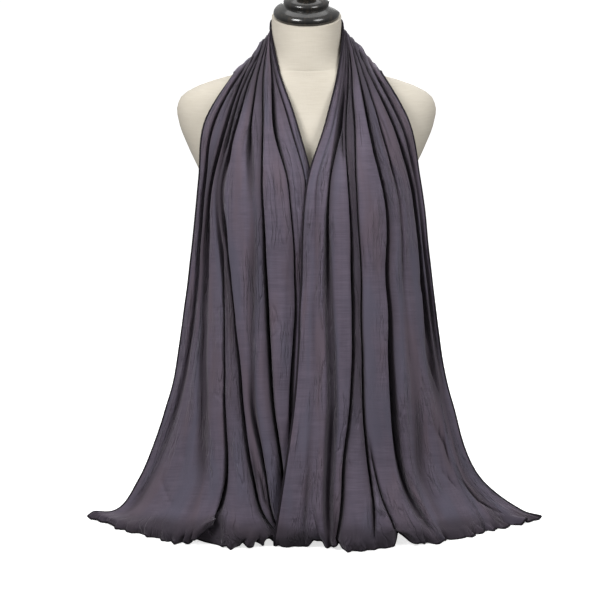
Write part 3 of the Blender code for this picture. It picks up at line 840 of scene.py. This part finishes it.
def jersey():
    """Fine single jersey: courses, slubs and bands across the cloth, wales and ladders down it,
    crinkles that run with the folds in some places, and a soft dull sheen."""
    finish = Finish("jersey")
    cloth = finish.node("ShaderNodeUVMap", {"uv_map": "cloth"})
    hung = finish.node("ShaderNodeUVMap", {"uv_map": "hung"})
    painted_shade = finish.node("ShaderNodeAttribute", {"attribute_name": "painted_fold_and_hem_shade"}, out="Fac")
    wales = finish.node("ShaderNodeTexWave", {"bands_direction": "X"}, {"Vector": cloth, "Scale": WALE_SCALE})
    courses, slubs, bands = (finish.noise(cloth, grain) for grain in (COURSES, SLUBS, BANDS))
    streak = courses * 0.25 + slubs * 0.35 + bands * 0.25 + finish.noise(hung, LADDERS) * 0.15
    colour = finish.mix(finish.between(streak, *JERSEY_STREAKS), JERSEY_DEEP, JERSEY_PALE)
    warmth = finish.noise(hung, WARMTH)
    colour = finish.mix(finish.between(warmth, *WARM_PLACES, 0.0, TINT_MOST), colour, JERSEY_WARM)
    colour = finish.mix(finish.between(warmth, *COOL_PLACES, 0.0, TINT_MOST), colour, JERSEY_COOL)
    # painted shade, darkening the cloth deep in its valleys and just above the hem
    colour = finish.mix(finish.between(painted_shade, *PAINTED_SHADE_RANGE, 0.0, PAINTED_SHADE_MOST), colour, JERSEY_PAINTED_SHADE)
    creased = finish.between(finish.noise(hung, CREASED_PLACES), *CREASED_RANGE)
    off_line = abs(finish.noise(hung, FINE_LINES) - 0.5)
    fine_lines = (1 - finish.between(off_line, 0.0, FINE_LINE_WIDTH)) * creased
    relief = finish.bump(wales * 0.5 + courses, KNIT_RELIEF)
    relief = finish.bump(slubs, SLUB_RELIEF, relief)
    relief = finish.bump(finish.noise(hung, CRINKLES) * creased, CRINKLE_RELIEF, relief)
    return finish.shade(
        Base_Color=colour,
        Roughness=finish.between(slubs, *NOISE_SPREAD, *JERSEY_ROUGHNESS),
        Normal=finish.bump(1 - fine_lines, FINE_LINE_RELIEF, relief),
        Sheen_Weight=0.20,
        Sheen_Roughness=0.45,
        Sheen_Tint=(0.80, 0.74, 0.84, 1.0),
        Specular_IOR_Level=0.3,
    )


def clear_of_form(points):
    """The same points, with those in or against the dress form laid just off it."""
    form = BVHTree.FromObject(dress_form, bpy.context.evaluated_depsgraph_get())
    for point in points:
        place, normal, _, _ = form.find_nearest(point, FORM_SEARCH)
        if place and (Vector(point) - place).dot(normal) < CLOTH_OFF_FORM:
            point[:] = place + normal * CLOTH_OFF_FORM
    return points


def draped_cloth():
    """The cloth as a grid bent into its folds, and its points row by row."""
    runs = row_runs()
    shares = even_shares(runs)
    rows, columns = len(runs), shares.shape[1]
    points, sink = folded_surface(np.repeat(runs, columns), shares.ravel())
    points = clear_of_form(points).reshape(rows, columns, 3)
    steps = np.linalg.norm(np.diff(points, axis=1), axis=2)
    path = np.hstack([np.zeros((rows, 1)), np.cumsum(steps, axis=1)])
    thread = path / path[:, -1:] * SHAWL_WIDTH
    mesh = bmesh.new()
    bmesh.ops.create_grid(mesh, x_segments=columns - 1, y_segments=rows - 1, size=0.5)
    mesh.verts.ensure_lookup_table()
    for vertex, point in zip(mesh.verts, points.reshape(-1, 3)):
        vertex.co = point
    # painted shade for each point: more the deeper it lies in a valley
    painted_shade = mesh.verts.layers.float.new("painted_fold_and_hem_shade")
    shade = np.clip(sink / FOLD_SHADE_DEPTH, 0, 1)
    # painted shade along the last stretch above the hem, uneven from column to column
    starts, full = (SHAWL_LENGTH / 2 - reach for reach in HEM_SHADE_REACH)
    point_runs, point_columns = np.repeat(runs, columns), np.tile(np.arange(columns), rows)
    painted_hem_shade = rise_to(np.abs(point_runs), starts, full)
    usual, spread = HEM_SHADE_SHARES
    painted_hem_shade *= usual + spread * uneven(HEM_SHADES, point_columns, point_runs)
    for vertex, value in zip(mesh.verts, np.maximum(shade, HEM_SHADE * painted_hem_shade)):
        vertex[painted_shade] = value
    bmesh.ops.reverse_faces(mesh, faces=mesh.faces)
    cloth_map = mesh.loops.layers.uv.new("cloth")
    hung_map = mesh.loops.layers.uv.new("hung")
    for face in mesh.faces:
        for loop in face.loops:
            row, column = divmod(loop.vert.index, columns)
            loop[cloth_map].uv = (thread[row, column], runs[row])
            loop[hung_map].uv = (column / (columns - 1) * SHAWL_WIDTH, runs[row])
    return mesh, points


cloth_mesh, cloth_points = draped_cloth()
shawl = new_piece("jersey_shawl", cloth_mesh, jersey())
wall = shawl.modifiers.new("wall", "SOLIDIFY")
wall.thickness = SHAWL_WALL
wall.offset = 0.0
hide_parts("shawl_back_neck", "shawl_front_left", "shawl_front_right")


# ---- the overlocked edge ------------------------------------------------------------------------
# A dark thread wrapped over the raw edge all round, sewn while the edge is stretched, which is what
# makes it wave. Each stitch is a small swelling in the round edge.

STITCH = 0.0017
EDGE_RADIUS = 0.0019
EDGE_WAIST = 0.80  # between two stitches, as a share of the radius
THREAD = (0.007, 0.005, 0.008, 1.0)
THREAD_WORN = (0.020, 0.016, 0.022, 1.0)
THREAD_FIBRES = Grain(EVEN, 1800.0, 2.0)
FIBRE_RELIEF = 0.0001


def thread_finish():
    finish = Finish("overlock_thread")
    place = finish.node("ShaderNodeTexCoord", out="Object")
    fibre = finish.noise(place, THREAD_FIBRES)
    return finish.shade(
        Base_Color=finish.mix(fibre, THREAD, THREAD_WORN),
        Roughness=0.85,
        Specular_IOR_Level=0.2,
        Normal=finish.bump(fibre, FIBRE_RELIEF),
    )


def edge_line(points):
    """The cloth's edge all the way round, at half a stitch's spacing."""
    line = np.concatenate([points[0, :-1], points[:-1, -1], points[-1, :0:-1], points[:0:-1, 0]])
    line = np.vstack([line, line[:1]])
    path = np.concatenate([[0], np.cumsum(np.linalg.norm(np.diff(line, axis=0), axis=1))])
    count = 2 * round(path[-1] / STITCH)
    at = np.arange(count) * path[-1] / count
    return np.stack([np.interp(at, path, line[:, k]) for k in range(3)], axis=1)


def overlock(points):
    """A round thread along the cloth's edge, thin between two stitches and thick at each."""
    line = edge_line(points)
    curve = bpy.data.curves.new("overlock_line", "CURVE")
    curve.dimensions = "3D"
    curve.bevel_depth = EDGE_RADIUS
    curve.bevel_resolution = 1
    spline = curve.splines.new("POLY")
    spline.points.add(len(line) - 1)
    spline.points.foreach_set("co", np.hstack([line, np.ones((len(line), 1))]).ravel())
    spline.points.foreach_set("radius", np.where(np.arange(len(line)) % 2, 1.0, EDGE_WAIST))
    spline.use_cyclic_u = True
    guide = bpy.data.objects.new("overlock_line", curve)
    bpy.context.scene.collection.objects.link(guide)
    data = bpy.data.meshes.new_from_object(guide.evaluated_get(bpy.context.evaluated_depsgraph_get()))
    mesh = bmesh.new()
    mesh.from_mesh(data)
    bpy.data.objects.remove(guide)
    bmesh.ops.recalc_face_normals(mesh, faces=mesh.faces)
    return mesh


edging = new_piece("overlocked_edge", overlock(cloth_points), thread_finish())


# ---- the table and the light --------------------------------------------------------------------
# A white table that rises into a white backdrop all round, under broad soft lamps.

FLOOR_RADIUS = 4.0
BACKDROP_BEND = 1.5  # the radius of the curve from the floor up into the wall
BACKDROP_TOP = 6.0
BEND_POINTS = 12
STAGE_SIDES = 64
PAPER_WHITE = (0.9, 0.9, 0.9, 1.0)
PAPER_GLOW = 0.65


def white_stage():
    """A round white floor that curves up into a wall on every side, further out than any camera."""
    turns = np.linspace(0, pi / 2, BEND_POINTS)
    bend = [(FLOOR_RADIUS + BACKDROP_BEND * sin(a), BACKDROP_BEND * (1 - cos(a))) for a in turns]
    mesh = turned([(0.0, 0.0), *bend, (FLOOR_RADIUS + BACKDROP_BEND, BACKDROP_TOP)], STAGE_SIDES)
    data = bpy.data.meshes.new("white_stage")
    mesh.to_mesh(data)
    mesh.free()
    data.shade_smooth()
    paper = Finish("white_paper").shade(
        Base_Color=PAPER_WHITE,
        Roughness=0.9,
        Emission_Color=(1, 1, 1, 1),
        Emission_Strength=PAPER_GLOW,
    )
    data.materials.append(paper)
    stage = bpy.data.objects.new("white_stage", data)
    bpy.context.scene.collection.objects.link(stage)
    # it looks white, but neither throws light under the folds nor shuts the sky out
    stage.visible_diffuse = stage.visible_glossy = stage.visible_shadow = False
    return stage


def soft_lamp(name, place, target, size, watts):
    lamp = bpy.data.lights.new(name, "AREA")
    lamp.shape, lamp.size, lamp.energy = "DISK", size, watts
    holder = bpy.data.objects.new(name, lamp)
    holder.location = place
    holder.rotation_euler = (Vector(target) - Vector(place)).to_track_quat("-Z", "Y").to_euler()
    bpy.context.scene.collection.objects.link(holder)


white_stage()
soft_lamp("lamp_left", (-0.8, -1.2, 1.30), target=(0, 0, 0.48), size=0.7, watts=18.5)
soft_lamp("lamp_right", (1.0, -1.2, 1.20), target=(0, 0, 0.46), size=0.8, watts=12.5)
soft_lamp("lamp_top", (0.0, 0.3, 2.4), target=(0, 0.3, 0.0), size=1.8, watts=10.0)
soft_lamp("lamp_back", (0.3, 1.7, 1.35), target=(0, 0, 0.45), size=1.2, watts=16.0)

SKY_LIGHT = 0.55
GROUND_LIGHT = 0.08
SKY_EDGE = 0.6  # how high the full sky starts, and how low the bare ground, with 1 straight up

sky = bpy.data.worlds.new("white_room")
bpy.context.scene.world = sky
sky.use_nodes = True
sky_nodes, sky_links = sky.node_tree.nodes, sky.node_tree.links
direction = sky_nodes.new("ShaderNodeTexCoord")
split = sky_nodes.new("ShaderNodeSeparateXYZ")
height = sky_nodes.new("ShaderNodeMapRange")
light_span = {"From Min": -SKY_EDGE, "From Max": SKY_EDGE, "To Min": GROUND_LIGHT, "To Max": SKY_LIGHT}
for name, value in light_span.items():
    height.inputs[name].default_value = value
sky_links.new(direction.outputs["Generated"], split.inputs["Vector"])
sky_links.new(split.outputs["Z"], height.inputs["Value"])
sky_links.new(height.outputs["Result"], sky_nodes["Background"].inputs["Strength"])
sky_nodes["Background"].inputs["Color"].default_value = (1, 1, 1, 1)

CAMERA_PLACE = (0.0, -2.4, 0.78)
CAMERA_TILT = radians(90 - 11)  # it looks 11 degrees down
FOCAL_PIXELS = 1648.0
FRAME_PIXELS = 605.0
MIDDLE_COLUMN = 306.5  # the photograph's column that the form's middle stands on

camera = bpy.data.objects.new("camera", bpy.data.cameras.new("camera"))
bpy.context.scene.collection.objects.link(camera)
camera.location = CAMERA_PLACE
camera.rotation_euler = (CAMERA_TILT, 0, 0)
camera.data.lens = FOCAL_PIXELS / FRAME_PIXELS * camera.data.sensor_width
camera.data.shift_x = (FRAME_PIXELS / 2 - MIDDLE_COLUMN) / FRAME_PIXELS
bpy.context.scene.camera = camera
bpy.context.scene.view_settings.view_transform = "Standard"
